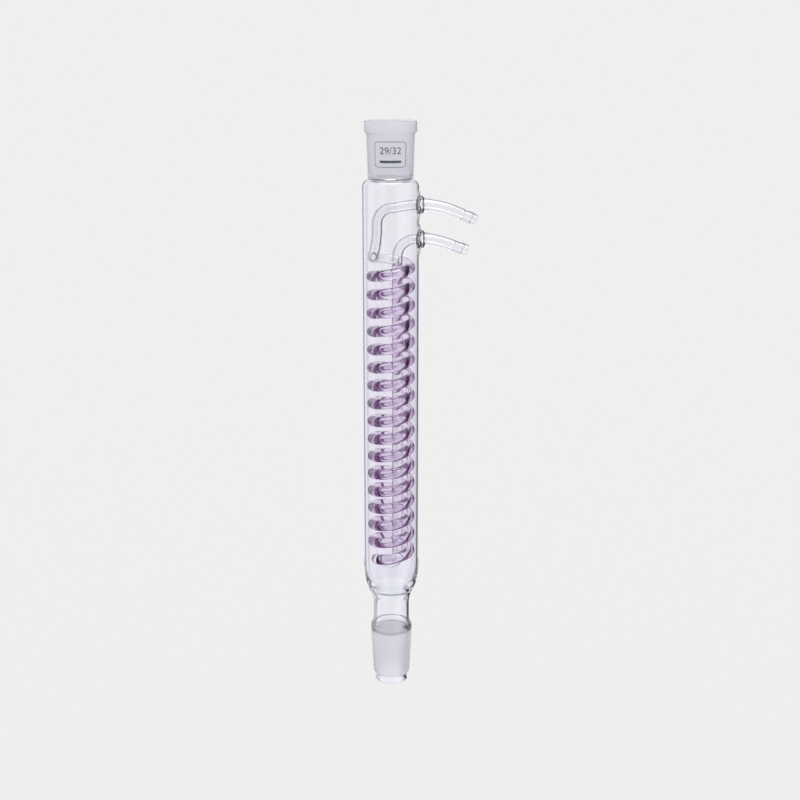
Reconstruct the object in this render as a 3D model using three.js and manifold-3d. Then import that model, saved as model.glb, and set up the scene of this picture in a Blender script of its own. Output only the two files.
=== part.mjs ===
// A coil condenser in borosilicate glass: a jacket for the vapour, with one coil of dyed cooling water inside it.
// Millimetres, +Z up. The origin is on the jacket's axis at the gauge plane of the ground cone, the plane
// where the cone has its nominal diameter. Both hose nozzles point towards +X.
import * as THREE from 'three';
import { mergeVertices } from 'three/addons/utils/BufferGeometryUtils.js';
import Module from 'manifold-3d';

const wasm = await Module();
wasm.setup();

// Standard 29/32 ground joint: 29.2 mm at the gauge plane, 32 mm long, taper 1 in 10 on the diameter.
const jointRadius = 29.2 / 2;
const jointLength = 32;
const jointSlope = 1 / 20; // radius lost per mm of depth
const jointSmallRadius = jointRadius - jointSlope * jointLength;

// Heights along the axis.
const rimZ = 360.6;
const shoulderZ = 323.6;
const coneTopZ = 0.9; // the cone's ground surface starts just above the gauge plane
const tipZ = -39.2;

// Jacket and neck.
const jacketRadius = 19.5;
const jacketWall = 1.5;
const jacketBore = jacketRadius - jacketWall;
const neckRadius = 13.2;
const neckBore = 11.2;
const flareRadius = 14.65; // where the neck widens to meet the cone
const coneBore = 11.9;
const collarRadius = 17.5;

// Inner tubing, used for the coil and for every tube that leads to it.
const tubeRadius = 3.7;
const tubeBore = 2.7;
const coolantRadius = 2.0;

// Coil: a right-handed helix. The angle PI is its leftmost point, and the coil's top is near it.
const coilRadius = 12.8;
const coilPitch = 12.63;
const coilTopZ = 270.2;
const coilTurns = 17;
const coilTopAngle = Math.PI - 0.42;
const coilEndAngle = Math.PI - 2 * Math.PI * coilTurns + 0.9;
const stepsPerTurn = 14;
const endStep = 0.06; // radians

// Return tube and the level that the coolant stands at.
const returnX = 4.45;
const returnTopZ = 268;
const returnBottomZ = 60;
const liquidZ = 266;

// Ring seals, where a nozzle and an inner tube are sealed through the jacket's wall.
const sealHoleRadius = 6;
const sealBore = 2.9;
const upperSeal = { z: 305.5, inner: 16.9, outer: 22.3, boss: 20.9 };
const lowerSeal = { z: 282.6, inner: 17.2, outer: 22.8, boss: 21.5 };

// Hose nozzles: each is a smooth curve in the XZ plane, from the seal to the open end.
const nozzleBore = 2.9;
const upperNozzle = [[36, 305.5], [44.5, 300.4], [56.6, 295.4]];
const lowerNozzle = [[33, 282.6], [41.8, 278.2], [51.15, 275.2]];

const gap = 0.3; // left between pieces that are fused on the real object
const roundSides = 32;
const glassColour = 0xe3e3ec;

const clearGlass = () => new THREE.MeshStandardMaterial({
  color: glassColour, roughness: 0.05, metalness: 0, transparent: true, opacity: 0.35,
});
const groundGlass = () => new THREE.MeshStandardMaterial({ color: 0xd8d7e0, roughness: 0.65, metalness: 0 });
const dyedWater = () => new THREE.MeshStandardMaterial({ color: 0x7d3f9a, roughness: 0.1, metalness: 0 });

const condenser = new THREE.Group();

function addPiece(name, geometry, material) {
  const mesh = new THREE.Mesh(geometry, material);
  mesh.name = name;
  condenser.add(mesh);
}

// Points of an arc in a profile, as [radius, height] pairs.
function arc(centreR, centreZ, radiusR, radiusZ, fromDegrees, toDegrees, count) {
  const points = [];
  for (let i = 0; i <= count; i += 1) {
    const angle = THREE.MathUtils.degToRad(fromDegrees + (toDegrees - fromDegrees) * i / count);
    points.push([centreR + radiusR * Math.cos(angle), centreZ + radiusZ * Math.sin(angle)]);
  }
  return points;
}

// A ring-shaped solid about the Y axis: up its outer side, then down its bore.
function ring(outerUp, innerDown, sides) {
  const outline = [...outerUp, ...innerDown, outerUp[0]];
  return new THREE.LatheGeometry(outline.map(([r, y]) => new THREE.Vector2(r, y)), sides);
}

// The same, standing on the Z axis.
function uprightRing(outerUp, innerDown) {
  return ring(outerUp, innerDown, roundSides).rotateX(Math.PI / 2);
}

function toSolid(geometry) {
  const bare = geometry.clone();
  bare.deleteAttribute('normal');
  bare.deleteAttribute('uv');
  const merged = mergeVertices(bare, 1e-4);
  return new wasm.Manifold(new wasm.Mesh({
    numProp: 3,
    vertProperties: new Float32Array(merged.attributes.position.array),
    triVerts: new Uint32Array(merged.index.array),
  }));
}

function toGeometry(solid) {
  const mesh = solid.getMesh();
  const geometry = new THREE.BufferGeometry();
  geometry.setAttribute('position', new THREE.BufferAttribute(mesh.vertProperties, 3));
  geometry.setIndex(new THREE.BufferAttribute(mesh.triVerts, 1));
  geometry.computeVertexNormals();
  return geometry;
}

// A route that keeps its own points as the places of a tube's cross-sections.
class Route extends THREE.Curve {
  constructor(points) {
    super();
    this.spline = new THREE.CatmullRomCurve3(points);
    this.steps = points.length - 1;
  }

  getPoint(t) {
    return this.spline.getPoint(t);
  }

  getPointAt(u) {
    return this.getPoint(u);
  }

  getTangentAt(u) {
    return this.getTangent(u);
  }
}

function polygon(radius, sides, Kind) {
  const corners = [];
  for (let i = 0; i < sides; i += 1) {
    const angle = 2 * Math.PI * i / sides;
    corners.push(new THREE.Vector2(radius * Math.cos(angle), radius * Math.sin(angle)));
  }
  return new Kind(corners);
}

// A bar along a route, or a tube when it has a bore.
function sweep(points, radius, sides, bore = 0) {
  const section = polygon(radius, sides, THREE.Shape);
  if (bore) {
    section.holes.push(polygon(bore, 6, THREE.Path));
  }
  const route = new Route(points);
  return new THREE.ExtrudeGeometry(section, { steps: route.steps, extrudePath: route, bevelEnabled: false });
}

function innerTube(points) {
  return sweep(points, tubeRadius, 8, tubeBore);
}

// Socket: a tapered bore with a thick collar round its mouth.
function socket() {
  const base = shoulderZ + gap;
  const outer = [
    [15.2, base], [15.25, base + 6], [15.9, rimZ - 9.2], [collarRadius, rimZ - 7.6],
    [collarRadius, rimZ - 0.7], [collarRadius - 0.5, rimZ],
  ];
  const bore = [
    [jointRadius + 0.5, rimZ], [jointRadius, rimZ - 0.6],
    [jointSmallRadius, rimZ - jointLength], [jointSmallRadius - 0.1, base],
  ];
  return uprightRing(outer, bore);
}

// Jacket: flare, neck, bowl, straight wall and shoulder, with a raised boss and a hole for each ring seal.
function jacket() {
  const base = coneTopZ + gap;
  const outer = [
    [flareRadius, base], [flareRadius, 3.4], [flareRadius - 0.2, 4.5], [13.7, 5.7], [neckRadius, 7.6],
    [neckRadius, 23.5], [13.7, 26], [15.1, 29.4], [16.4, 32.8],
    [17.6, 36.2], [18.5, 39.8], [19.1, 44.4], [19.4, 49], [jacketRadius, 54],
    ...arc(jacketRadius - 5.2, shoulderZ - 6, 5.2, 6, 0, 90, 5),
    [jointSmallRadius - 0.1, shoulderZ],
  ];
  const inner = [
    [jointSmallRadius - 0.1, shoulderZ - jacketWall],
    ...arc(jacketBore - 4.2, shoulderZ - jacketWall - 4.8, 4.2, 4.8, 90, 0, 4),
    [jacketBore, 54], [17.5, 45], [16.2, 38.6], [13.3, 31.2], [11.9, 27.6], [neckBore, 24.5],
    [neckBore, 7], [coneBore, 3.5], [coneBore, base],
  ];
  let solid = toSolid(uprightRing(outer, inner));
  for (const seal of [upperSeal, lowerSeal]) {
    solid = solid.add(toSolid(boss(seal)));
    solid = solid.subtract(toSolid(sealHole(seal)));
  }
  return toGeometry(solid);
}

// Turns a shape made about the Y axis so that it lies along +X at a seal's height.
function layAlongX(geometry, height) {
  return geometry.rotateZ(-Math.PI / 2).translate(0, 0, height);
}

function boss(seal) {
  const outline = [[0, 18.05], [7.1, 18.05], [6.5, seal.boss - 1.2], [6.4, seal.boss], [0, seal.boss]];
  const points = outline.map(([r, x]) => new THREE.Vector2(r, x));
  return layAlongX(new THREE.LatheGeometry(points, 24), seal.z);
}

function sealHole(seal) {
  const length = 20;
  const hole = new THREE.CylinderGeometry(sealHoleRadius, sealHoleRadius, length, 24);
  hole.translate(0, seal.boss, 0);
  return layAlongX(hole, seal.z);
}

// Ring seal: a thick ring with a bead inside the wall and a second bead outside it.
function ringSeal(seal) {
  const full = sealHoleRadius - gap;
  const outer = [
    [3.9, seal.inner], [4.9, seal.inner + 0.5], [full, seal.inner + 1.7], [full, seal.outer - 1.6],
    [5.2, seal.outer - 0.4], [4.6, seal.outer],
  ];
  const bore = [[sealBore, seal.outer], [sealBore, seal.inner]];
  return layAlongX(ring(outer, bore, 16), seal.z);
}

// Nozzle: a lathed tube with ridges for a hose, bent along a curve that starts at its ring seal.
function nozzle(seal, [first, second, end]) {
  const at = ([x, z]) => new THREE.Vector3(x, 0, z);
  const line = new THREE.CubicBezierCurve3(at([seal.outer + gap, seal.z]), at(first), at(second), at(end));
  const length = line.getLength();
  const ridge = length - 3.2;
  const barb = length - 9;
  const outer = [[4.6, 0], [4.45, 2], [4.2, 5], [4.05, 9]];
  for (let s = 13; s < barb - 3; s += 4) {
    outer.push([4, s]);
  }
  outer.push([3.9, barb - 0.6], [3.4, barb], [4.2, ridge - 0.4], [4.2, ridge], [3.7, ridge + 0.4]);
  outer.push([3.95, length - 1], [3.8, length]);
  const bore = [];
  for (let i = 6; i >= 0; i -= 1) {
    bore.push([nozzleBore, length * i / 6]);
  }
  const geometry = ring(outer, bore, 16);
  const places = geometry.attributes.position;
  const side = new THREE.Vector3(0, 1, 0);
  for (let i = 0; i < places.count; i += 1) {
    const along = THREE.MathUtils.clamp(places.getY(i) / length, 0, 1);
    const up = line.getTangentAt(along).cross(side);
    const place = line.getPointAt(along);
    place.addScaledVector(up, places.getX(i)).addScaledVector(side, places.getZ(i));
    places.setXYZ(i, place.x, place.y, place.z);
  }
  return geometry;
}

// Ground cone: continues the neck's flare, tapers, and ends in a clear drip tip with a rounded rim.
function groundCone() {
  const outer = [
    [10.2, tipZ], [11.1, tipZ + 0.4], [11.7, tipZ + 1.5], [11.8, -34], [12.4, -32.6],
    [jointSmallRadius, -jointLength], [jointRadius, 0], [flareRadius, coneTopZ],
  ];
  const bore = [
    [coneBore, coneTopZ], [coneBore, 0], [10.6, -30], [9.8, -33.5],
    [9.4, tipZ + 1.4], [9.7, tipZ],
  ];
  return uprightRing(outer, bore);
}

function coilPoint(angle) {
  const z = coilTopZ - coilPitch * (Math.PI - angle) / (2 * Math.PI);
  return new THREE.Vector3(coilRadius * Math.cos(angle), coilRadius * Math.sin(angle), z);
}

// Points from the coil's lower end up to an angle, at the same places wherever it is sampled. The short first and
// last steps set the end faces square to the coil.
function coilPoints(topAngle) {
  const step = 2 * Math.PI / stepsPerTurn;
  const points = [coilPoint(coilEndAngle), coilPoint(coilEndAngle + endStep)];
  for (let angle = coilEndAngle + step; angle < topAngle - step / 3; angle += step) {
    points.push(coilPoint(angle));
  }
  points.push(coilPoint(topAngle - endStep), coilPoint(topAngle));
  return points;
}

const v = (x, y, z) => new THREE.Vector3(x, y, z);

// A quarter bend in the XZ plane, from heading along -X to heading straight down.
function quarterBend(endX, topZ, radius, startDegrees) {
  return arc(endX + radius, topZ - radius, radius, radius, startDegrees, 180, 6).map(([x, z]) => v(x, 0, z));
}

// Upper inner tube: from its seal across the jacket, down its left side, and round into the coil.
function upperInnerTube() {
  const joint = coilTopAngle + gap / coilRadius;
  return innerTube([
    v(upperSeal.inner - gap, 0, upperSeal.z), v(14, 0, 305.3), v(8, 0, 304.5),
    ...quarterBend(-9.1, 303.4, 10.4, 84),
    v(-9.2, 0, 287), v(-9.7, 0, 281.5), v(-10.4, 0.1, 277), v(-11.3, 0.5, 273.6),
    v(-12.1, 1.7, 271.2), v(-12.4, 3.2, 270), coilPoint(joint + endStep), coilPoint(joint),
  ]);
}

// Lower inner tube: from its seal, and down to the top of the return tube.
function lowerInnerTube() {
  return innerTube([
    v(lowerSeal.inner - gap, 0, lowerSeal.z),
    ...quarterBend(returnX, lowerSeal.z, 12, 90),
    v(returnX, 0, returnTopZ + gap),
  ]);
}

// End bend: from the coil's last turn inwards under the coil, and up to the return tube.
const endBendPoints = [
  v(returnX, 0, 58.5), v(4.2, 0.4, 54.4), v(2.7, 1.7, 51.1), v(-0.2, 3.3, 49.4), v(-3.8, 4.1, 49.5),
  v(-7.2, 3.5, 50.9), v(-9.7, 1.2, 53), v(-10.5, -2.6, 55), v(-9.9, -6.5, 56.4),
];

function coilEndBend() {
  const joint = coilEndAngle - gap / coilRadius;
  return innerTube([
    v(returnX, 0, returnBottomZ - gap), ...endBendPoints, coilPoint(joint - endStep), coilPoint(joint),
  ]);
}

// Coolant: one body of water from the level in the return tube, round the end bend, and up the coil.
function coolant() {
  const surfaceAngle = Math.PI - 2 * Math.PI * (coilTopZ - liquidZ) / coilPitch;
  return sweep([
    v(returnX, 0, liquidZ), v(returnX, 0, returnBottomZ), ...endBendPoints,
    ...coilPoints(surfaceAngle),
  ], coolantRadius, 5);
}

addPiece('socket', socket(), groundGlass());
addPiece('jacket', jacket(), clearGlass());
addPiece('ground_cone', groundCone(), groundGlass());
addPiece('upper_ring_seal', ringSeal(upperSeal), clearGlass());
addPiece('lower_ring_seal', ringSeal(lowerSeal), clearGlass());
addPiece('upper_nozzle', nozzle(upperSeal, upperNozzle), clearGlass());
addPiece('lower_nozzle', nozzle(lowerSeal, lowerNozzle), clearGlass());
addPiece('upper_inner_tube', upperInnerTube(), clearGlass());
addPiece('lower_inner_tube', lowerInnerTube(), clearGlass());
addPiece('return_tube', innerTube([v(returnX, 0, returnTopZ), v(returnX, 0, returnBottomZ)]), clearGlass());
addPiece('coil_end_bend', coilEndBend(), clearGlass());
addPiece('coil', innerTube(coilPoints(coilTopAngle)), clearGlass());
addPiece('coolant', coolant(), dyedWater());

export default condenser;
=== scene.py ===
import math

import bmesh
import bpy
from mathutils import Matrix, Vector


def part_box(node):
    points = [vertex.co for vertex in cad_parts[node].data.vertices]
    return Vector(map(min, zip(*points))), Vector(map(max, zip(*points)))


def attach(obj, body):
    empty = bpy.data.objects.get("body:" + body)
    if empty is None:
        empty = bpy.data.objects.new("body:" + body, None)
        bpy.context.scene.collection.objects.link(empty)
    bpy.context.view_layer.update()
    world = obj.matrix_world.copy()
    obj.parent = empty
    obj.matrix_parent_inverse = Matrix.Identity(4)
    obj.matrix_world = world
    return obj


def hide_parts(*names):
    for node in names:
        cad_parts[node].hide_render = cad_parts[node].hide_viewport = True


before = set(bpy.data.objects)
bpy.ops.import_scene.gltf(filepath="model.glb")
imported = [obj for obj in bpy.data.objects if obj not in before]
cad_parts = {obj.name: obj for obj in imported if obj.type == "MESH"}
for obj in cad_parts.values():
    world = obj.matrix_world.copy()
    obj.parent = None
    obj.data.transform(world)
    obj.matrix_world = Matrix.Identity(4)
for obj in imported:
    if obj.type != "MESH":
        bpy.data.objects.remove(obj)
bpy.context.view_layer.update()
mm = 0.001  # lengths below are in millimetres, and addPiece brings each mesh to metres
seam = 0.02  # how far neighbours run into each other, so that they look fused
sharpAngle = math.radians(50)  # edges sharper than this stay sharp
print("frame loaded,", len(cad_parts), "packed nodes")


def span(node):
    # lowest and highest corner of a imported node, in millimetres
    low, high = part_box(node)
    return low / mm, high / mm


class Wire:
    # one socket: expressions on it add Math nodes, and node() adds any other kind

    def __init__(self, tree, socket=None):
        self.tree = tree
        self.socket = socket

    def node(self, kind, settings=None, sockets=None, out=0):
        made = self.tree.nodes.new(kind)
        for name, value in (settings or {}).items():
            setattr(made, name, value)
        for name, value in (sockets or {}).items():
            if isinstance(value, Wire):
                self.tree.links.new(value.socket, made.inputs[name])
            else:
                made.inputs[name].default_value = value
        return Wire(self.tree, made.outputs[out] if made.outputs else None)

    def math(self, operation, *values):
        return self.node("ShaderNodeMath", {"operation": operation}, dict(enumerate(values)))

    def __add__(self, other):
        return self.math("ADD", self, other)

    def __sub__(self, other):
        return self.math("SUBTRACT", self, other)

    def __rsub__(self, other):
        return self.math("SUBTRACT", other, self)

    def __mul__(self, other):
        return self.math("MULTIPLY", self, other)

    __radd__ = __add__
    __rmul__ = __mul__

    def ramp(self, low, high):
        # 0 before low and 1 past high, smooth between
        sockets = {"Value": self, "From Min": low, "From Max": high}
        return self.node("ShaderNodeMapRange", {"interpolation_type": "SMOOTHSTEP"}, sockets)

    def band(self, rise, top, fall, end):
        # 1 from top to fall, and 0 outside rise to end
        return self.ramp(rise, top) * (1 - self.ramp(fall, end))

    def mix(self, first, second):
        # the first colour where this is 0, the second where it is 1
        return self.node("ShaderNodeMix", {"data_type": "RGBA"}, {0: self, 6: first, 7: second}, 2)


def grey(value, lavender=0.0):
    # a grey whose blue is raised a little
    return (value, value, value + lavender, 1)


def newMaterial(name):
    material = bpy.data.materials.new(name)
    material.use_nodes = True
    material.node_tree.nodes.clear()
    return material, Wire(material.node_tree)


def noiseOn(start, scale, detail=2.0):
    # noise in the piece's own coordinates; scale is in features per metre
    place = start.node("ShaderNodeTexCoord", out=3)
    return start.node("ShaderNodeTexNoise", {}, {"Vector": place, "Scale": scale, "Detail": detail})


glassIndex = 1.47
waterIndex = 1.33

clearLooks = {
    "tint": (0.993, 0.995, 1.0, 1),
    # the colour and strengths of the painted shade on glass edges and on the nozzles' rings
    "edge": (0.06, 0.06, 0.08, 1),
    "edgeStrength": 0.62,
    "shadeLineStrength": 0.55,
    "edgeSoft": 0.035,
    "edgeEnd": 0.65,  # share of the wall's thickness that is painted dark at a glancing look
    "roughness": (0.0, 0.03),
    "smearScale": 160,
    "smearRange": (0.45, 0.8),
    "waveScale": 45,
    "waveHeight": 0.02,
    "waveStrength": 0.3,
    "groundSoft": 0.4,
    "groundRoughness": 0.5,
}

# the coil's dark bars are painted shade for the dark total reflections in its dyed turns, worked out for an
# eye a little above the part
barShadeLooks = {
    "colour": (0.07, 0.012, 0.08, 1),
    "eyeSine": 0.2,
    "eyeCosine": 0.98,
    "flatLimit": 1.02,  # a little over 1, so that nothing is divided by 0
    "surfaceSoft": 1,
}


def edgeShadeLimits(radius, bore):
    # where a tube's wall gets its painted shade, dark edge lines painted into the glass's colour,
    # from looking along its bore to some way out, as shares of a glancing look
    share = bore / radius
    far = share + clearLooks["edgeEnd"] * (1 - share)
    return 1 - math.sqrt(1 - share * share), 1 - math.sqrt(1 - far * far)


def heightOf(start):
    # height in millimetres
    place = start.node("ShaderNodeTexCoord", out=3)
    return start.node("ShaderNodeSeparateXYZ", {}, {"Vector": place}, 2) * (1 / mm)


def clearGlass(name, wall, lowWall=None, paintedZones=(), **changes):
    # wall is (radius, bore), lowWall is (radius, bore, from height, to height) for a part with
    # another wall, and each painted zone is (the tint of its painted light and shade, four heights of its
    # band)
    looks = {**clearLooks, **changes}
    material, start = newMaterial(name)
    outside = start.node("ShaderNodeAttribute", {"attribute_name": "outside"}, out=2)
    facing = start.node("ShaderNodeLayerWeight", {}, {"Blend": 0.5}, 1)
    near, far = edgeShadeLimits(*wall)
    if lowWall:
        lowNear, lowFar = edgeShadeLimits(*lowWall[:2])
        upper = heightOf(start).ramp(*lowWall[2:])
        near = upper * (near - lowNear) + lowNear
        far = upper * (far - lowFar) + lowFar
    soft = looks["edgeSoft"]
    # painted shade: the glass's colour is painted dark near its silhouette, where the wall is seen at a
    # glancing look
    edge = facing.band(near - soft, near + soft, far - soft, far + soft)
    edge = edge * outside * looks["edgeStrength"]
    # painted shade: dark rings painted where the line attribute is set, at the nozzles' barb, ridge and end
    line = start.node("ShaderNodeAttribute", {"attribute_name": "line"}, out=2)
    edge = edge + line * looks["shadeLineStrength"]
    tint = looks["tint"]
    # painted light and shade: each zone paints its tint on the outside over a band of heights
    for colour, *heights in paintedZones:
        tint = (heightOf(start).band(*heights) * outside).mix(tint, colour)
    colour = edge.mix(tint, looks["edge"])
    if "bars" in looks:
        # dark bars painted as shade where a turn bends away from the eye: turned is the cosine of that bend
        lie = start.node("ShaderNodeTexCoord", out=1)
        slope = start.node("ShaderNodeSeparateXYZ", {}, {"Vector": lie}, 2)
        flat = start.math("SQRT", barShadeLooks["flatLimit"] - slope * slope)
        level = 1 - facing - slope * barShadeLooks["eyeSine"]
        turned = start.math("DIVIDE", level, flat * barShadeLooks["eyeCosine"])
        surface = looks["barsBelow"]
        surfaceSoft = barShadeLooks["surfaceSoft"]
        filled = 1 - heightOf(start).ramp(surface - surfaceSoft, surface + surfaceSoft)
        bars = turned.band(*looks["bars"]) * filled * outside
        colour = bars.mix(colour, barShadeLooks["colour"])
    waves = noiseOn(start, looks["waveScale"])
    smears = noiseOn(start, looks["smearScale"], 4.0).ramp(*looks["smearRange"])
    low, high = looks["roughness"]
    rough = low + smears * (high - low)
    if "groundBelow" in looks:
        limit = looks["groundBelow"]
        ground = 1 - heightOf(start).ramp(limit - looks["groundSoft"], limit)
        rough = rough + ground * outside * looks["groundRoughness"]
    bump = start.node(
        "ShaderNodeBump",
        {},
        {
            "Strength": looks["waveStrength"],
            "Distance": looks["waveHeight"] * mm,
            "Height": waves,
        },
    )
    glass = start.node(
        "ShaderNodeBsdfPrincipled",
        {},
        {
            "Base Color": colour,
            "Roughness": rough,
            "IOR": glassIndex,
            "Transmission Weight": 1.0,
            "Normal": bump,
        },
    )
    start.node("ShaderNodeOutputMaterial", {}, {"Surface": glass})
    return material


groundLooks = {
    "tint": (0.935, 0.93, 0.99, 1),
    # the colour of the painted shade at the frosted glass's silhouette
    "edge": (0.74, 0.74, 0.77, 1),
    "clearShare": 0.55,
    "roughness": (0.52, 0.62),
    "clearRoughness": 0.04,
    "sideRange": (0.4, 0.6),
    "edgeShadeRange": (0.3, 0.85),
    "limitSoft": 0.25,
    "wanderScale": 300,
    "wander": 0.7,
    "patchScale": 90,
    "grainScale": 2600,
    "grainHeight": 0.02,
    "grainStrength": 0.5,
}


def groundGlass(name, low, high, outsideShare, boreShare, edgeShadeShare):
    # ground between two heights, as much as the shares say on each side of the wall, and clear elsewhere,
    # with painted shade greying the outside towards its silhouette
    looks = groundLooks
    material, start = newMaterial(name)
    outside = start.node("ShaderNodeAttribute", {"attribute_name": "outside"}, out=2)
    side = outside.ramp(*looks["sideRange"]) * (outsideShare - boreShare) + boreShare
    wander = noiseOn(start, looks["wanderScale"]) * looks["wander"] - looks["wander"] / 2
    soft = looks["limitSoft"]
    ground = (heightOf(start) + wander).band(low - soft, low, high, high + soft) * side
    patches = noiseOn(start, looks["patchScale"], 3.0)
    smooth, coarse = looks["roughness"]
    rough = smooth + patches * (coarse - smooth)
    grain = noiseOn(start, looks["grainScale"], 3.0) * ground
    bump = start.node(
        "ShaderNodeBump",
        {},
        {
            "Strength": looks["grainStrength"],
            "Distance": looks["grainHeight"] * mm,
            "Height": grain,
        },
    )
    # painted shade: the outside is painted greyer where it is seen at a glancing look
    facing = start.node("ShaderNodeLayerWeight", {}, {"Blend": 0.5}, 1)
    edge = facing.ramp(*looks["edgeShadeRange"]) * outside * edgeShadeShare
    clearRoughness = looks["clearRoughness"]
    glass = start.node(
        "ShaderNodeBsdfPrincipled",
        {},
        {
            "Base Color": edge.mix(looks["tint"], looks["edge"]),
            "Roughness": ground * (rough - clearRoughness) + clearRoughness,
            "IOR": glassIndex,
            "Transmission Weight": looks["clearShare"],
            "Normal": bump,
        },
    )
    start.node("ShaderNodeOutputMaterial", {}, {"Surface": glass})
    return material


waterLooks = {
    "dye": (0.42, 0.0, 0.5, 1),
    "density": 22.0,
    "paleDensity": 6.0,
    "tint": (1.0, 0.98, 1.0, 1),
    "streak": (0.97, 0.95, 0.99, 1),
    "streakScale": 120,
    "streakRange": (0.4, 0.8),
}


def dyedWater(name, density):
    material, start = newMaterial(name)
    streaks = noiseOn(start, waterLooks["streakScale"]).ramp(*waterLooks["streakRange"])
    water = start.node(
        "ShaderNodeBsdfPrincipled",
        {},
        {
            "Base Color": streaks.mix(waterLooks["tint"], waterLooks["streak"]),
            "Roughness": 0.0,
            "IOR": waterIndex,
            "Transmission Weight": 1.0,
        },
    )
    dye = start.node(
        "ShaderNodeVolumeAbsorption", {}, {"Color": waterLooks["dye"], "Density": density}
    )
    start.node("ShaderNodeOutputMaterial", {}, {"Surface": water, "Volume": dye})
    return material


enamelLooks = {
    "ink": (0.075, 0.10, 0.095, 1),
    "worn": (0.20, 0.23, 0.22, 1),
    "wearScale": 900,
    "wearRange": (0.5, 0.75),
    "roughness": 0.35,
    "wornRoughness": 0.3,  # what wear adds
}


def enamel(name):
    # the printed mark: a fired enamel, worn thin in places
    looks = enamelLooks
    material, start = newMaterial(name)
    worn = noiseOn(start, looks["wearScale"], 4.0).ramp(*looks["wearRange"])
    ink = start.node(
        "ShaderNodeBsdfPrincipled",
        {},
        {
            "Base Color": worn.mix(looks["ink"], looks["worn"]),
            "Roughness": looks["roughness"] + worn * looks["wornRoughness"],
        },
    )
    start.node("ShaderNodeOutputMaterial", {}, {"Surface": ink})
    return material


def curveThrough(points, step):
    # a centripetal curve through the points, with a place about every step
    points = [Vector(p) for p in points]
    ends = [points[0] * 2 - points[1], *points, points[-1] * 2 - points[-2]]
    places = []
    for a, b, c, d in zip(ends, ends[1:], ends[2:], ends[3:]):
        ta = 0
        tb = ta + (b - a).length ** 0.5
        tc = tb + (c - b).length ** 0.5
        td = tc + (d - c).length ** 0.5
        count = max(1, math.ceil((c - b).length / step))
        for i in range(count):
            t = tb + (tc - tb) * i / count
            ab = a.lerp(b, (t - ta) / (tb - ta))
            bc = b.lerp(c, (t - tb) / (tc - tb))
            cd = c.lerp(d, (t - tc) / (td - tc))
            abc = ab.lerp(bc, (t - ta) / (tc - ta))
            bcd = bc.lerp(cd, (t - tb) / (td - tb))
            places.append(abc.lerp(bcd, (t - tb) / (tc - tb)))
    return [*places, points[-1]]


def arc(centre, radii, start, end, count=8):
    # points of an arc, angles in degrees
    made = []
    for i in range(count + 1):
        angle = math.radians(start + (end - start) * i / count)
        across = centre[0] + radii[0] * math.cos(angle)
        up = centre[1] + radii[1] * math.sin(angle)
        made.append(Vector((across, up)))
    return made


def ringMesh(outer, bore, segments=96):
    # a ring about Z: the outline goes up the outer side and down the bore, as (radius, height)
    bm = bmesh.new()
    outside = bm.verts.layers.float.new("outside")
    corners = []
    for share, side in ((1.0, outer), (0.0, bore)):
        for radius, height in side:
            corner = bm.verts.new((radius, 0, height))
            corner[outside] = share
            corners.append(corner)
    for a, b in zip(corners, corners[1:] + corners[:1]):
        bm.edges.new((a, b))
    bmesh.ops.spin(
        bm, geom=bm.verts[:] + bm.edges[:], cent=(0, 0, 0), axis=(0, 0, 1),
        angle=2 * math.pi, steps=segments, use_merge=True,
    )
    return bm


def sectionMesh(radius, bore, sides):
    # a flat disc, or a flat ring when it has a bore
    bm = bmesh.new()
    outside = bm.verts.layers.float.new("outside")
    bmesh.ops.create_circle(bm, segments=sides, radius=radius, cap_ends=not bore)
    for vert in bm.verts:
        vert[outside] = 1.0
    if bore:
        bmesh.ops.create_circle(bm, segments=sides, radius=bore)
        bmesh.ops.bridge_loops(bm, edges=bm.edges[:])
    return bm


def sweepMesh(route, radius, bore, sides):
    # a bar or tube along the route, extruded from place to place
    bm = sectionMesh(radius, bore, sides)
    before = [route[0], *route[:-1]]
    after = [*route[1:], route[-1]]
    headings = [(b - a).normalized() for a, b in zip(before, after)]
    turn = Vector((0, 0, 1)).rotation_difference(headings[0]).to_matrix().to_4x4()
    bmesh.ops.transform(bm, matrix=Matrix.Translation(route[0]) @ turn, verts=bm.verts[:])
    front = bm.faces[:]
    for i in range(1, len(route)):
        made = bmesh.ops.extrude_face_region(bm, geom=front)["geom"]
        if i > 1:
            bmesh.ops.delete(bm, geom=front, context="FACES")  # the first one stays as the end
        front = [g for g in made if isinstance(g, bmesh.types.BMFace)]
        moved = [g for g in made if isinstance(g, bmesh.types.BMVert)]
        turn = headings[i - 1].rotation_difference(headings[i]).to_matrix().to_4x4()
        step = Matrix.Translation(route[i]) @ turn @ Matrix.Translation(-route[i - 1])
        bmesh.ops.transform(bm, matrix=step, verts=moved)
    return bm


def joinMesh(bm, other):
    # adds a mesh to another as a shell of its own
    mesh = bpy.data.meshes.new("joined")
    other.to_mesh(mesh)
    other.free()
    bm.from_mesh(mesh)
    bpy.data.meshes.remove(mesh)


def addPiece(name, bm, material, nodes=()):
    # cleans the mesh, brings it to metres and ties it to the frame
    bmesh.ops.remove_doubles(bm, verts=bm.verts[:], dist=1e-4)
    bmesh.ops.recalc_face_normals(bm, faces=bm.faces[:])
    bmesh.ops.scale(bm, vec=(mm, mm, mm), verts=bm.verts[:])
    mesh = bpy.data.meshes.new(name)
    bm.to_mesh(mesh)
    bm.free()
    mesh.shade_smooth()
    mesh.set_sharp_from_angle(angle=sharpAngle)
    piece = bpy.data.objects.new(name, mesh)
    bpy.context.scene.collection.objects.link(piece)
    mesh.materials.append(material)
    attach(piece, "root")
    if nodes:
        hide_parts(*nodes)
    print(name, "made,", len(mesh.polygons), "faces")
    return piece


def layAlongX(bm, height):
    # turns a shape made about Z so that it points along +X at a height
    turn = Matrix.Rotation(math.pi / 2, 4, "Y")
    bmesh.ops.transform(bm, matrix=Matrix.Translation((0, 0, height)) @ turn, verts=bm.verts[:])
    return bm


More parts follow.
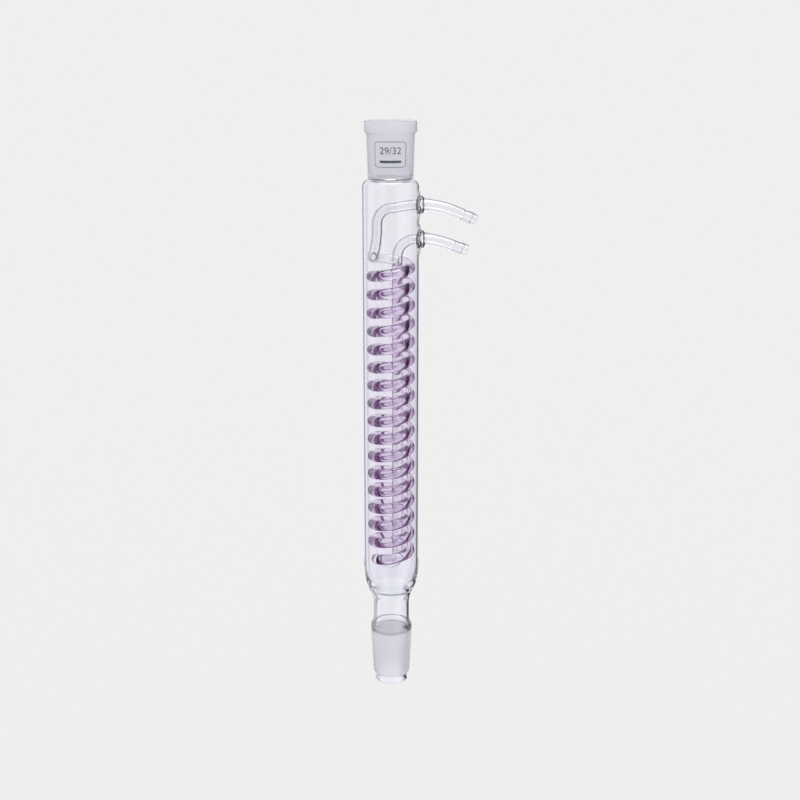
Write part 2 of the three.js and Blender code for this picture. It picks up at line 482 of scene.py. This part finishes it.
socketHigh = span("socket")[1]
jacketLow, jacketHigh = span("jacket")
coneLow, coneHigh = span("ground_cone")
joint = {"radius": 14.6, "length": 32, "slope": 1 / 20}
smallRadius = joint["radius"] - joint["slope"] * joint["length"]

socketShape = {
    "baseRadius": 15.2,
    "lowRadius": 15.4,
    "bodyRadius": 15.95,
    "collarHeight": 7.6,
    "rimRound": 0.7,
}


def makeSocket():
    shape = socketShape
    collar = socketHigh.x
    rim = socketHigh.z
    base = jacketHigh.z - seam
    under = rim - shape["collarHeight"]
    roundness = shape["rimRound"]
    outer = [
        (shape["baseRadius"], base),
        (shape["baseRadius"] + 0.05, base + 6),
        *curveThrough(
            [(shape["lowRadius"], base + 8), (15.7, under - 9), (shape["bodyRadius"], under - 1.6)], 1.5
        ),
        *curveThrough(
            [(16.1, under - 1.1), (16.6, under - 0.5), (collar - 0.3, under), (collar, under + 0.7)], 0.3
        ),
        *arc((collar - roundness, rim - roundness), (roundness, roundness), 0, 90),
    ]
    bore = [
        *arc((joint["radius"] + 0.9, rim - 0.6), (0.9, 0.6), 90, 180, 6),
        (smallRadius, rim - joint["length"]),
        (smallRadius - 0.15, rim - joint["length"] - 0.8),
        (smallRadius - 0.2, base),
    ]
    material = groundGlass("ground_socket_glass", base + 3, rim - 0.4, 0.75, 1.0, 1.0)
    return addPiece("socket_glass", ringMesh(outer, bore), material, ["socket"])


coneShape = {
    "top": 0.0,
    "flare": 14.65,
    "boreTop": 11.9,
    "boreEnd": 10.6,
    "tipRadius": 11.8,
    "tipBore": 9.4,
    "tipWall": (12.0, 9.5),
}


def makeCone():
    shape = coneShape
    tip = coneLow.z
    outer = [
        *arc((10.6, tip + 1.2), (1.2, 1.2), 270, 360, 6),
        *curveThrough(
            [
                (shape["tipRadius"], tip + 4.4), (11.95, tip + 5.6), (12.4, tip + 6.6),
                (smallRadius, -joint["length"]),
            ],
            0.4,
        ),
        (joint["radius"], shape["top"]),
        (shape["flare"], coneHigh.z),
    ]
    bore = [
        (shape["boreTop"], coneHigh.z),
        (shape["boreTop"], shape["top"]),
        *curveThrough(
            [
                (shape["boreEnd"], 2 - joint["length"]), (9.9, tip + 5.9), (9.45, tip + 3.5),
                (shape["tipBore"], tip + 1.5),
            ],
            0.6,
        ),
        *arc((10.3, tip + 0.9), (0.9, 0.9), 180, 260, 5),
    ]
    material = groundGlass("ground_cone_glass", -joint["length"] - 1, coneHigh.z + 1, 1.0, 0.0, 0.15)
    bm = ringMesh(outer, bore)
    piece = addPiece("ground_cone_glass", bm, material, ["ground_cone"])
    # the tip and the bore are clear
    piece.data.materials.append(clearGlass("tip_clear_glass", shape["tipWall"], edgeStrength=0.4))
    for face in piece.data.polygons:
        across = math.hypot(face.center.x, face.center.y)
        if face.center.z < (-joint["length"] - 0.1) * mm or across < (shape["boreTop"] + 0.05) * mm:
            face.material_index = 1
    return piece


jacketShape = {
    "wall": 1.5,
    "neck": 13.2,
    "neckBore": 11.2,
    "shoulder": (5.2, 6.0),
    "innerShoulder": (4.2, 4.8),
    "bowl": [
        (13.2, 23.0), (13.7, 26), (15.1, 29.4), (16.4, 32.8),
        (17.6, 36.2), (18.5, 39.8), (19.1, 44.4), (19.4, 49),
    ],
    "innerBowl": [
        (17.9, 52), (17.5, 46), (16.4, 40.5), (14.2, 35.4), (12.5, 32.4), (11.4, 31.0), (11.2, 29.8),
    ],
    "lowWallHeights": (26, 42),
    # painted light and shade: a purple cast of light from the dyed coil over the coil's heights, and a
    # painted blue-grey shade in the bowl above the neck
    "paintedZones": [((0.97, 0.93, 1.0, 1), 40, 62, 255, 272), ((0.84, 0.87, 0.94, 1), 30, 32, 35, 48)],
    "flare": [(13.2, 8.0), (13.3, 7.2), (13.7, 5.9), (14.3, 4.8), (14.65, 3.4)],
    "groundBelow": 3.2,
    "fineStart": 14,  # the wall has close rings of vertices from this far below the lower seal
    "fineRings": 60,
}
sealShape = {"hole": 6.0, "bore": 2.9, "spread": 5.5}
seals = []
for node, lift in (("upper_ring_seal", 0.8), ("lower_ring_seal", 1.2)):
    low, high = span(node)
    middle = (low.z + high.z) / 2
    seals.append({"node": node, "z": middle, "inner": low.x, "outer": high.x, "lift": lift})


def swell(bm, seal):
    # the wall swells outwards round a seal, more on its outer side
    outside = bm.verts.layers.float["outside"]
    centre = Vector((0, seal["z"]))
    for vert in bm.verts:
        if vert.co.x > 0:
            away = (Vector((vert.co.y, vert.co.z)) - centre).length - sealShape["hole"]
            share = min(max(1 - away / sealShape["spread"], 0), 1)
            share = share * share * (3 - 2 * share)
            vert.co.x += seal["lift"] * share * (0.5 + 0.5 * vert[outside])


def cutWith(piece, tool):
    # cuts a tool from a piece and keeps the result as its mesh
    cut = piece.modifiers.new("cut", "BOOLEAN")
    cut.operation = "DIFFERENCE"
    cut.solver = "EXACT"
    cut.object = tool
    shown = piece.evaluated_get(bpy.context.evaluated_depsgraph_get())
    mesh = bpy.data.meshes.new_from_object(shown)
    piece.modifiers.clear()
    bpy.data.objects.remove(tool)
    bm = bmesh.new()
    bm.from_mesh(mesh)
    bpy.data.meshes.remove(mesh)
    return bm


def looseObject(name, bm):
    mesh = bpy.data.meshes.new(name)
    bm.to_mesh(mesh)
    bm.free()
    made = bpy.data.objects.new(name, mesh)
    bpy.context.scene.collection.objects.link(made)
    return made


def makeJacket():
    shape = jacketShape
    radius = -jacketLow.x
    bore = radius - shape["wall"]
    top = jacketHigh.z
    base = coneHigh.z - seam
    sideX, sideZ = shape["shoulder"]
    inX, inZ = shape["innerShoulder"]
    low = seals[1]["z"] - shape["fineStart"]
    high = top - sideZ
    rings = shape["fineRings"]
    fine = [low + (high - low) * i / rings for i in range(rings)]
    outer = [
        (coneShape["flare"], base),
        *reversed(curveThrough(shape["flare"], 0.4)),
        *curveThrough([*shape["bowl"], (radius, 54)], 1.0),
        *[(radius, z) for z in fine],
        *arc((radius - sideX, high), (sideX, sideZ), 0, 90, 12),
        (smallRadius, top),
    ]
    inner = [
        (smallRadius, top - shape["wall"]),
        *arc((bore - inX, top - shape["wall"] - inZ), (inX, inZ), 90, 0, 10),
        *[(bore, z) for z in reversed(fine)],
        *curveThrough([(bore, 56), *shape["innerBowl"]], 1.0),
        *curveThrough(
            [(shape["neckBore"], 20), (11.4, 12), (11.7, 6), (coneShape["boreTop"], base)], 1.2
        ),
    ]
    bm = ringMesh(outer, inner, 128)
    for seal in seals:
        swell(bm, seal)
    bmesh.ops.recalc_face_normals(bm, faces=bm.faces[:])
    piece = looseObject("jacket_blank", bm)
    for seal in seals:
        hole = bmesh.new()
        bmesh.ops.create_cone(
            hole, cap_ends=True, segments=64,
            radius1=sealShape["hole"], radius2=sealShape["hole"], depth=20,
        )
        bmesh.ops.translate(hole, vec=(0, 0, seal["outer"]), verts=hole.verts[:])
        bm = cutWith(piece, looseObject("hole", layAlongX(hole, seal["z"])))
        bm.to_mesh(piece.data)
        bm.free()
    bm = bmesh.new()
    bm.from_mesh(piece.data)
    bpy.data.objects.remove(piece)
    lowWall = (shape["neck"], shape["neckBore"], *shape["lowWallHeights"])
    glass = clearGlass(
        "jacket_clear_glass", (radius, bore), lowWall, shape["paintedZones"], groundBelow=shape["groundBelow"]
    )
    return addPiece("jacket_glass", bm, glass, ["jacket"])


def makeSeal(seal, material):
    full = sealShape["hole"] + seam
    inner = seal["inner"]
    outer = seal["outer"]
    outline = curveThrough(
        [
            (3.75, inner), (4.5, inner + 0.15), (5.3, inner + 0.9), (full, inner + 1.9),
            (full, outer - 2.0), (full - 0.1, outer - 1.1), (5.1, outer - 0.35), (4.55, outer),
        ],
        0.35,
    )
    bm = ringMesh(outline, [(sealShape["bore"], outer), (sealShape["bore"], inner)], 64)
    name = seal["node"] + "_glass"
    return addPiece(name, layAlongX(bm, seal["z"]), material, [seal["node"]])


nozzleShape = {
    "radius": 4.0,
    "bore": 2.9,
    "ridge": 3.2,  # how far the ridge and the barb are from the end
    "barb": 9,
    "shadeLineHalf": 0.16,
    "lowEdgeShade": 0.25,  # how dark the painted edge shade is on the lower side beside the upper side, where it is painted darkest
    "upper_nozzle": [(36, 305.5), (44.5, 300.4), (56.6, 295.4)],
    "lower_nozzle": [(33, 282.6), (41.8, 278.2), (51.15, 275.2)],
}


def bezierPlaces(points, count):
    a, b, c, d = (Vector((x, 0, z)) for x, z in points)
    places = []
    for i in range(count + 1):
        t = i / count
        start = (1 - t) ** 3 * a + 3 * t * (1 - t) ** 2 * b
        places.append(start + 3 * t * t * (1 - t) * c + t**3 * d)
    return places


def bendAlong(bm, places):
    # bends a shape made about Z along places in the XZ plane, a height of 0 being the first of them
    runs = [0]
    for a, b in zip(places, places[1:]):
        runs.append(runs[-1] + (b - a).length)
    side = Vector((0, 1, 0))
    for vert in bm.verts:
        along = min(max(vert.co.z, 0), runs[-1] - 1e-6)
        i = max(k for k in range(len(runs) - 1) if runs[k] <= along)
        share = (along - runs[i]) / (runs[i + 1] - runs[i])
        ahead = places[min(i + 2, len(places) - 1)] - places[min(i + 1, len(places) - 2)]
        heading = (places[i + 1] - places[i]).normalized().lerp(ahead.normalized(), share).normalized()
        up = heading.cross(side)
        place = places[i].lerp(places[i + 1], share)
        vert.co = place + up * vert.co.x + side * vert.co.y


def makeNozzle(node, seal, material):
    start = (seal["outer"] - seam, seal["z"])
    places = bezierPlaces([start, *nozzleShape[node]], 60)
    length = sum((b - a).length for a, b in zip(places, places[1:]))
    ridge = length - nozzleShape["ridge"]
    barb = length - nozzleShape["barb"]
    lowEdgeShade = nozzleShape["lowEdgeShade"]
    outer = [
        *curveThrough(
            [
                (4.6, 0), (4.45, 2), (4.2, 5), (4.05, 9),
                (nozzleShape["radius"], 13), (nozzleShape["radius"], barb - 2.5),
            ],
            0.8,
        ),
        *curveThrough([(3.95, barb - 0.9), (3.75, barb - 0.4), (3.45, barb)], 0.3),
        *curveThrough([(3.5, barb + 0.3), (4.1, ridge - 0.7), (4.2, ridge - 0.2)], 0.6),
        *curveThrough([(4.15, ridge + 0.15), (3.75, ridge + 0.5), (3.8, ridge + 1.2)], 0.3),
        *curveThrough(
            [(3.95, length - 1.2), (3.95, length - 0.5), (3.75, length - 0.12), (3.5, length)], 0.25
        ),
    ]
    count = math.ceil(length / 0.8)
    bore = [(3.1, length), (2.95, length - 0.2)]
    bore += [(nozzleShape["bore"], (length - 0.6) * i / count) for i in range(count, -1, -1)]
    bm = ringMesh(outer, bore, 48)
    outside = bm.verts.layers.float["outside"]
    line = bm.verts.layers.float.new("line")
    # painted shade: the line attribute marks the dark rings painted at the barb, the ridge and the end
    for vert in bm.verts:
        across = math.hypot(vert.co.x, vert.co.y)
        # painted shade: the dark edge lines are painted full on the nozzle's upper side and weaker below,
        # carried by the outside attribute
        lit = min(max(0.5 + vert.co.x / across, 0), 1)
        if vert[outside]:
            nearest = min(abs(vert.co.z - z) for z in (barb, ridge, length))
            vert[line] = 1.0 if nearest < nozzleShape["shadeLineHalf"] else 0.0
            vert[outside] = lowEdgeShade + (1 - lowEdgeShade) * lit
    bendAlong(bm, places)
    return addPiece(node + "_glass", bm, material, [node])


tube = {"radius": 3.7, "bore": 2.7, "sides": 24, "step": 1.2}
coil = {
    "radius": 12.8,
    "pitch": 12.63,
    "topZ": 270.2,
    "turns": 17,
    "startLag": 0.42,
    "endLead": 0.9,
    "stepsPerTurn": 40,
    "lead": 0.0835,  # angle past the coil's end at which a tube that meets it lies in line
    "overlap": 0.002,
}
returnTube = {"x": 4.45, "top": 268, "bottom": 60, "level": 266}
coilTopAngle = math.pi - coil["startLag"]
coilEndAngle = math.pi - 2 * math.pi * coil["turns"] + coil["endLead"]
endBend = [
    (4.45, 0, 58.5), (4.2, 0.4, 54.4), (2.7, 1.7, 51.1), (-0.2, 3.3, 49.4), (-3.8, 4.1, 49.5),
    (-7.2, 3.5, 50.9), (-9.7, 1.2, 53), (-10.5, -2.6, 55), (-9.9, -6.5, 56.4),
]


def coilPoint(angle):
    fall = coil["pitch"] * (math.pi - angle) / (2 * math.pi)
    x = coil["radius"] * math.cos(angle)
    y = coil["radius"] * math.sin(angle)
    return Vector((x, y, coil["topZ"] - fall))


def coilPlaces(start, end):
    count = math.ceil(abs(end - start) / (2 * math.pi) * coil["stepsPerTurn"])
    return [coilPoint(start + (end - start) * i / count) for i in range(count + 1)]


def quarterBend(endX, topZ, radius, start):
    bend = arc((endX + radius, topZ - radius), (radius, radius), start, 180, 6)
    return [(x, 0, z) for x, z in bend]


def endBendPlaces():
    # from the return tube round to the last turn of the coil
    route = [
        (returnTube["x"], 0, returnTube["bottom"] + seam), *endBend,
        coilPoint(coilEndAngle - coil["lead"]), coilPoint(coilEndAngle + coil["overlap"]),
    ]
    return curveThrough(route, tube["step"])


def innerTube(name, route, material, node):
    bm = sweepMesh(route, tube["radius"], tube["bore"], tube["sides"])
    return addPiece(name, bm, material, [node])


def makeInnerTubes(material, coilMaterial, columnMaterial):
    upper, lower = seals
    route = [
        (upper["inner"] + 0.1, 0, upper["z"]), (14, 0, 305.3), (8, 0, 304.5),
        *quarterBend(-9.1, 303.4, 10.4, 84), (-9.2, 0, 287), (-9.7, 0, 281.5), (-10.4, 0.1, 277),
        (-11.3, 0.5, 273.6), (-12.1, 1.7, 271.2), (-12.4, 3.2, 270),
        coilPoint(coilTopAngle + coil["lead"]), coilPoint(coilTopAngle - coil["overlap"]),
    ]
    innerTube("upper_inner_tube_glass", curveThrough(route, tube["step"]), material, "upper_inner_tube")
    x = returnTube["x"]
    route = [
        (lower["inner"] + 0.1, 0, lower["z"]), *quarterBend(x, lower["z"], 12, 90),
        (x, 0, returnTube["top"] - seam),
    ]
    innerTube("lower_inner_tube_glass", curveThrough(route, tube["step"]), material, "lower_inner_tube")
    straight = [Vector((x, 0, returnTube["top"])), Vector((x, 0, returnTube["bottom"]))]
    innerTube("return_tube_glass", straight, columnMaterial, "return_tube")
    innerTube("coil_end_bend_glass", endBendPlaces(), columnMaterial, "coil_end_bend")
    innerTube("coil_glass", coilPlaces(coilEndAngle, coilTopAngle), coilMaterial, "coil")


def makeCoolant():
    # the water in the bend, then the column and the coil; the bend's is paler
    x = returnTube["x"]
    surface = math.pi - 2 * math.pi * (coil["topZ"] - returnTube["level"]) / coil["pitch"]
    radius = tube["bore"] + 3 * seam
    bm = sweepMesh(endBendPlaces(), radius, 0, tube["sides"])
    paleFaces = len(bm.faces)
    column = [Vector((x, 0, returnTube["level"])), Vector((x, 0, returnTube["bottom"]))]
    for route in (column, coilPlaces(coilEndAngle, surface)):
        joinMesh(bm, sweepMesh(route, radius, 0, tube["sides"]))
    for i, face in enumerate(bm.faces):
        face.material_index = 1 if i < paleFaces else 0
    water = dyedWater("dyed_water", waterLooks["density"])
    piece = addPiece("coolant_dyed", bm, water, ["coolant"])
    piece.data.materials.append(dyedWater("pale_dyed_water", waterLooks["paleDensity"]))
    return piece


mark = {
    "z": 339.4,
    "width": 22.0,
    "height": 16.5,
    "corner": 2.2,
    "line": 0.35,
    "size": "29/32",
    "letterSize": 6.4,
    "letterUp": 2.2,
    "bar": (7.2, 0.8),
    "barUp": -4.6,
    "thick": 0.06,
    "lift": 0.02,
}


def makeMark():
    # a plain frame with the joint's size in it and a solid bar below, wrapped round the socket
    bm = bmesh.new()
    half = (mark["width"] / 2, mark["height"] / 2)
    for inset in (0, mark["line"]):
        corner = mark["corner"] - inset
        x = half[0] - inset - corner
        y = half[1] - inset - corner
        loop = []
        for cx, cy, start in ((x, y, 0), (-x, y, 90), (-x, -y, 180), (x, -y, 270)):
            for place in arc((cx, cy), (corner, corner), start, start + 90, 8):
                loop.append(bm.verts.new((place.x, place.y, 0)))
        for a, b in zip(loop, loop[1:] + loop[:1]):
            bm.edges.new((a, b))
    bmesh.ops.bridge_loops(bm, edges=bm.edges[:])
    bar = bmesh.ops.create_grid(bm, x_segments=24, y_segments=1, size=1)["verts"]
    bmesh.ops.scale(bm, vec=(*mark["bar"], 1), verts=bar)
    bmesh.ops.translate(bm, vec=(0, mark["barUp"], 0), verts=bar)
    letters = bpy.data.curves.new("letters", "FONT")
    letters.body = mark["size"]
    letters.align_x = "CENTER"
    letters.align_y = "CENTER"
    letters.size = mark["letterSize"]
    holder = bpy.data.objects.new("letters", letters)
    bpy.context.scene.collection.objects.link(holder)
    shown = holder.evaluated_get(bpy.context.evaluated_depsgraph_get())
    flat = bpy.data.meshes.new_from_object(shown)
    bpy.data.objects.remove(holder)
    flat.transform(Matrix.Translation((0, mark["letterUp"], 0)))
    bm.from_mesh(flat)
    bpy.data.meshes.remove(flat)
    long = [e for e in bm.edges if e.calc_length() > 1.0]
    bmesh.ops.subdivide_edges(bm, edges=long, cuts=6)
    bmesh.ops.triangulate(bm, faces=bm.faces[:])
    bmesh.ops.recalc_face_normals(bm, faces=bm.faces[:])
    bmesh.ops.solidify(bm, geom=bm.faces[:], thickness=mark["thick"])
    low = jacketHigh.z + 8
    high = socketHigh.z - 9.2
    lowRadius = socketShape["lowRadius"]
    grow = socketShape["bodyRadius"] - lowRadius
    for vert in bm.verts:
        z = mark["z"] + vert.co.y
        radius = lowRadius + grow * (z - low) / (high - low) + mark["lift"] + abs(vert.co.z)
        angle = vert.co.x / radius
        vert.co = Vector((radius * math.sin(angle), -radius * math.cos(angle), z))
    return addPiece("size_mark", bm, enamel("mark_enamel"))


stage = {"floorZ": -400, "floorSize": 40000, "pale": 0.863, "floorAlbedo": 0.8}
light = {
    "bright": 0.9,
    "cool": 0.05,
    "dark": (0.07, 0.04, 0.078, 1),
    "ceiling": 0.55,
    "ground": 0.5,
    "box": 5.0,
    "ceilingRise": (0.5, 0.75),
    "groundRise": (-0.75, -0.9),
    "boxRise": (0.86, 0.92),
    "panels": [(-28, 28), (-60, -36), (-110, -74), (115, 155)],  # headings in degrees
    "panelOutside": 4,  # how far a panel's edge fades outwards and inwards
    "panelInside": 3,
}
view = {"x": 6.2, "y": -868.5, "z": 403.8, "pitch": 15, "lens": 58.5, "sensor": 36, "bounces": 48}


def makeFloor():
    bm = bmesh.new()
    bmesh.ops.create_grid(bm, x_segments=1, y_segments=1, size=stage["floorSize"] / 2 * mm)
    bmesh.ops.translate(bm, vec=(0, 0, stage["floorZ"] * mm), verts=bm.verts[:])
    floor = looseObject("floor", bm)
    material, start = newMaterial("pale_floor")
    paint = start.node("ShaderNodeBsdfDiffuse", {}, {"Color": grey(stage["floorAlbedo"])})
    start.node("ShaderNodeOutputMaterial", {}, {"Surface": paint})
    floor.data.materials.append(material)
    floor.visible_transmission = False
    floor.visible_glossy = False


def makeWorld():
    # the room: pale to the eye, even on the floor, and with dark gaps and a light box overhead in the glass
    world = bpy.data.worlds.new("studio")
    bpy.context.scene.world = world
    world.use_nodes = True
    world.cycles.sampling_method = "NONE"  # the room's light is broad and needs no sampling
    world.node_tree.nodes.clear()
    start = Wire(world.node_tree)
    split = start.node("ShaderNodeSeparateXYZ", {}, {"Vector": start.node("ShaderNodeTexCoord")})
    x, y, z = (Wire(start.tree, split.socket.node.outputs[i]) for i in range(3))
    heading = x.math("ARCTAN2", x, y) * (180 / math.pi)
    outward = light["panelOutside"]
    inward = light["panelInside"]
    panels = 0
    for low, high in light["panels"]:
        panels = heading.band(low - outward, low + inward, high - inward, high + outward) + panels
    walls = panels.mix(light["dark"], grey(light["bright"], light["cool"]))
    room = z.ramp(*light["ceilingRise"]).mix(walls, grey(light["ceiling"]))
    room = z.ramp(*light["groundRise"]).mix(room, grey(light["ground"]))
    lit = z.ramp(*light["boxRise"]).mix(room, grey(light["box"]))
    path = start.node("ShaderNodeLightPath")
    camera = Wire(start.tree, path.socket.node.outputs["Is Camera Ray"])
    scattered = Wire(start.tree, path.socket.node.outputs["Diffuse Depth"])
    diffuse = scattered.math("MINIMUM", scattered, 1.0)
    even = diffuse.mix(lit, grey(stage["pale"] / stage["floorAlbedo"]))
    seen = camera.mix(even, grey(stage["pale"]))
    background = start.node("ShaderNodeBackground", {}, {"Color": seen})
    start.node("ShaderNodeOutputWorld", {}, {"Surface": background})


def makeCamera():
    data = bpy.data.cameras.new("camera")
    data.lens = view["lens"]
    data.sensor_width = view["sensor"]
    data.clip_end = 100
    camera = bpy.data.objects.new("camera", data)
    camera.location = (view["x"] * mm, view["y"] * mm, view["z"] * mm)
    camera.rotation_euler = (math.radians(90 - view["pitch"]), 0, 0)
    scene = bpy.context.scene
    scene.collection.objects.link(camera)
    scene.camera = camera
    scene.view_settings.view_transform = "Standard"
    scene.cycles.max_bounces = view["bounces"]
    scene.cycles.transmission_bounces = view["bounces"]
    scene.cycles.glossy_bounces = 24


makeCamera()
makeWorld()
makeFloor()
print("stage ready")
tubeWall = (tube["radius"], tube["bore"])
nozzleWall = (nozzleShape["radius"], nozzleShape["bore"])
tubeGlass = clearGlass("tube_clear_glass", tubeWall)
coilGlass = clearGlass(
    "coil_clear_glass", tubeWall,
    edgeStrength=0.0, bars=(0.61, 0.66, 0.79, 0.85), barsBelow=returnTube["level"],
)
columnGlass = clearGlass("column_clear_glass", tubeWall, edgeStrength=0.0)
nozzleGlass = clearGlass("nozzle_clear_glass", nozzleWall, edgeStrength=0.85)
sealGlass = clearGlass("seal_clear_glass", (6.0, 3.0), edgeStrength=0.85, waveScale=500, waveHeight=0.2)
makeSocket()
makeCone()
makeJacket()
for seal, node in zip(seals, ("upper_nozzle", "lower_nozzle")):
    makeSeal(seal, sealGlass)
    makeNozzle(node, seal, nozzleGlass)
makeInnerTubes(tubeGlass, coilGlass, columnGlass)
makeCoolant()
makeMark()
